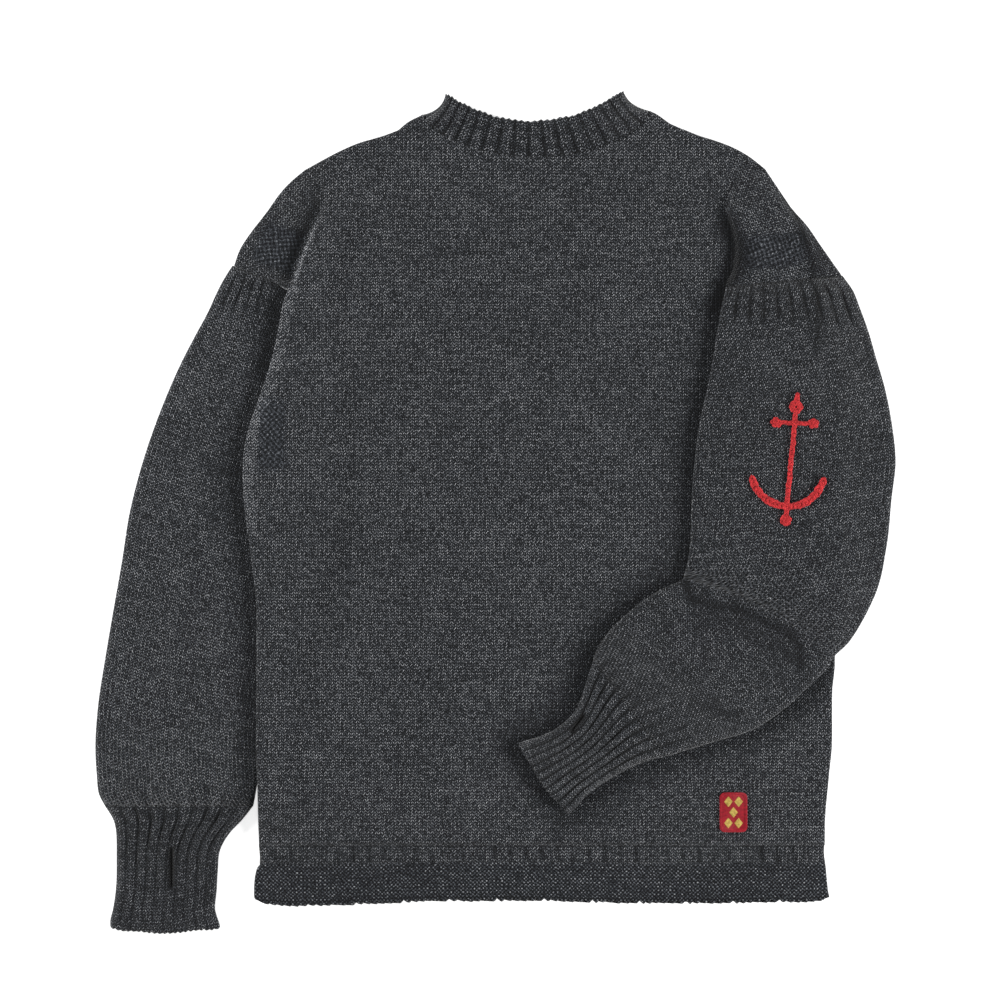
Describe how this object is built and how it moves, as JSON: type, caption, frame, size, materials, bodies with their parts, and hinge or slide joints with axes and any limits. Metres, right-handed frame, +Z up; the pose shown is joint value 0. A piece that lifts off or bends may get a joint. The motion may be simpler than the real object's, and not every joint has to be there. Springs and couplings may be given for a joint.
{
  "type": "fisherman sweater",
  "caption": "Charcoal wool guernsey fisherman sweater, laid flat, one sleeve folded across the front, ribbed cuffs and neck",
  "frame": {"origin": "under the middle of the laid garment, on the surface that it lies on", "axes": "+X to the viewer's right across the body, +Y from the hem to the neckband, +Z up from the surface that the garment lies on"},
  "size_m": [0.7208, 0.757, 0.0141],
  "materials": {
    "charcoal_wool": "stockinette knit in heathered worsted wool, matt with pale flecks",
    "charcoal_rib": "ribbed and garter knit in the same wool",
    "patch_red": "red embroidered patch with a merrowed edge",
    "patch_gold": "gold embroidery thread of the patch's motif, satin stitch",
    "anchor_red": "red wool chain stitch"
  },
  "bodies": {
    "root": {"back": "charcoal_wool", "front": "charcoal_wool", "neckband": "charcoal_rib", "sleeve_left": "charcoal_wool", "cuff_left": "charcoal_rib", "sleeve_right": "charcoal_wool", "cuff_right": "charcoal_rib", "welt_back": "charcoal_rib", "welt_front": "charcoal_rib", "patch": "patch_red"}
  },
  "joints": []
}
